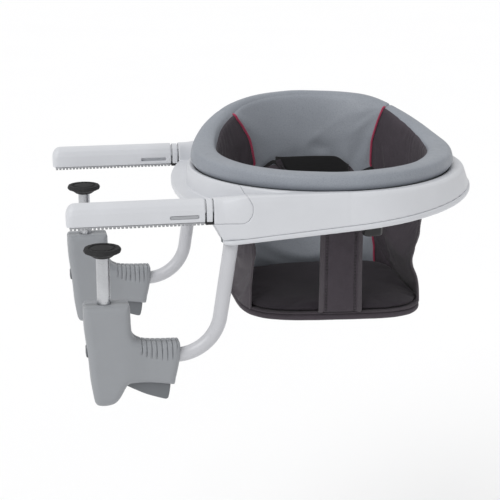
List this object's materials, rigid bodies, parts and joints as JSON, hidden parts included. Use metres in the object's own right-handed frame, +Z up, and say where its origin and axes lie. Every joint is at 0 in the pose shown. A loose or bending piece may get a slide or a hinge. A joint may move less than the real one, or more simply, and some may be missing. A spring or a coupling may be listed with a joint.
{
  "type": "hook-on table chair",
  "caption": "Child seat that hangs from a tabletop by two arms and two screwless clamps, with a padded swivelling ring and a soft fabric seat.",
  "frame": {"origin": "on the tabletop, at its edge, midway between the two arms", "axes": "+X away from the table toward the far side of the seat ring, +Y to the far arm and the seat's back, +Z up"},
  "size_m": [0.5422, 0.382, 0.3266],
  "materials": {
    "white_plastic": "fine satin white",
    "inner_plastic": "plain moulded grey",
    "black_plastic": "matte black",
    "foot_plastic": "soft pale grey",
    "soft_black": "matte",
    "painted_tube": "satin light grey",
    "plain_steel": "plain zinc grey",
    "clamp_plastic": "satin mid grey",
    "trigger_plastic": "satin dark grey",
    "leatherette": "soft low sheen",
    "seat_fabric": "plain dark weave",
    "piping_fabric": "red cord piping",
    "webbing": "ribbed black webbing"
  },
  "bodies": {
    "frame": {"ring_housing": "white_plastic", "front_bridge": "white_plastic", "housing_base": "white_plastic", "seat_track": "inner_plastic", "arm_shell_near": "white_plastic", "arm_latch_near": "foot_plastic", "arm_foot_near": "foot_plastic", "arm_tube_near": "painted_tube", "arm_collar_near": "white_plastic", "edge_pad_near": "soft_black", "leg_bush_near": "soft_black", "arm_shell_far": "white_plastic", "arm_latch_far": "foot_plastic", "arm_foot_far": "foot_plastic", "arm_tube_far": "painted_tube", "arm_collar_far": "white_plastic", "edge_pad_far": "soft_black", "leg_bush_far": "soft_black"},
    "seat": {"glide_ring": "inner_plastic", "seat_ring": "inner_plastic", "retaining_ring": "inner_plastic", "backrest_pad": "leatherette", "ring_cushion": "leatherette", "back_panel": "leatherette", "side_panel_left": "seat_fabric", "side_panel_right": "seat_fabric", "piping_left": "piping_fabric", "piping_right": "piping_fabric", "front_lining": "seat_fabric", "seat_base": "seat_fabric", "seat_cushion": "seat_fabric", "crotch_panel": "seat_fabric", "waist_belt": "webbing"},
    "rotation_lock": {"rotation_lock": "black_plastic"},
    "leg_near": {"leg_tube_near": "painted_tube", "leg_clip_near": "plain_steel", "clamp_shell_outer_near": "clamp_plastic", "clamp_shell_inner_near": "clamp_plastic", "trigger_pin_near": "plain_steel", "plate_spring_near": "plain_steel"},
    "piston_near": {"clamp_rod_near": "plain_steel", "clamp_pad_near": "soft_black"},
    "trigger_near": {"trigger_near": "trigger_plastic"},
    "jam_plate_near": {"jam_plate_near": "plain_steel"},
    "release_button_near": {"release_button_near": "trigger_plastic"},
    "leg_far": {"leg_tube_far": "painted_tube", "leg_clip_far": "plain_steel", "clamp_shell_outer_far": "clamp_plastic", "clamp_shell_inner_far": "clamp_plastic", "trigger_pin_far": "plain_steel", "plate_spring_far": "plain_steel"},
    "piston_far": {"clamp_rod_far": "plain_steel", "clamp_pad_far": "soft_black"},
    "trigger_far": {"trigger_far": "trigger_plastic"},
    "jam_plate_far": {"jam_plate_far": "plain_steel"},
    "release_button_far": {"release_button_far": "trigger_plastic"}
  },
  "joints": [
    {"name": "seat_swivel", "type": "hinge", "parent": "frame", "child": "seat", "pos_m": [0.176, 0, 0], "axis": [0, 0, 1], "continuous": true},
    {"name": "rotation_lock_pull", "type": "slide", "parent": "frame", "child": "rotation_lock", "axis": [0.1908, -0.9816, 0], "range_m": [0, 0.005], "stiffness_N_per_m": 300, "springref_m": -0.003},
    {"name": "leg_turn_near", "type": "hinge", "parent": "frame", "child": "leg_near", "pos_m": [0.028, -0.168, 0], "axis": [0, 0, 1], "range_deg": [0, 165]},
    {"name": "clamp_slide_near", "type": "slide", "parent": "leg_near", "child": "piston_near", "axis": [0, 0, 1], "range_m": [-0.028, 0.005]},
    {"name": "trigger_squeeze_near", "type": "hinge", "parent": "leg_near", "child": "trigger_near", "pos_m": [-0.103, -0.168, -0.1945], "axis": [0, -1, 0], "range_deg": [0, 12], "stiffness_Nm_per_rad": 0.6, "springref_deg": -6.88},
    {"name": "jam_plate_tilt_near", "type": "hinge", "parent": "leg_near", "child": "jam_plate_near", "pos_m": [-0.143, -0.168, -0.187], "axis": [0, -1, 0], "range_deg": [0, 2.2], "deforming": ["plate_spring_near"]},
    {"name": "release_press_near", "type": "slide", "parent": "leg_near", "child": "release_button_near", "axis": [1, 0, 0], "range_m": [0, 0.003], "stiffness_N_per_m": 300, "springref_m": -0.003},
    {"name": "leg_turn_far", "type": "hinge", "parent": "frame", "child": "leg_far", "pos_m": [0.028, 0.168, 0], "axis": [0, 0, -1], "range_deg": [0, 165]},
    {"name": "clamp_slide_far", "type": "slide", "parent": "leg_far", "child": "piston_far", "axis": [0, 0, 1], "range_m": [-0.028, 0.005]},
    {"name": "trigger_squeeze_far", "type": "hinge", "parent": "leg_far", "child": "trigger_far", "pos_m": [-0.103, 0.168, -0.1945], "axis": [0, -1, 0], "range_deg": [0, 12], "stiffness_Nm_per_rad": 0.6, "springref_deg": -6.88},
    {"name": "jam_plate_tilt_far", "type": "hinge", "parent": "leg_far", "child": "jam_plate_far", "pos_m": [-0.143, 0.168, -0.187], "axis": [0, -1, 0], "range_deg": [0, 2.2], "deforming": ["plate_spring_far"]},
    {"name": "release_press_far", "type": "slide", "parent": "leg_far", "child": "release_button_far", "axis": [1, 0, 0], "range_m": [0, 0.003], "stiffness_N_per_m": 300, "springref_m": -0.003}
  ],
  "couplings": [
    {"joint": "jam_plate_tilt_near", "follows": "trigger_squeeze_near", "ratio": 0.167},
    {"joint": "jam_plate_tilt_far", "follows": "trigger_squeeze_far", "ratio": 0.167}
  ]
}
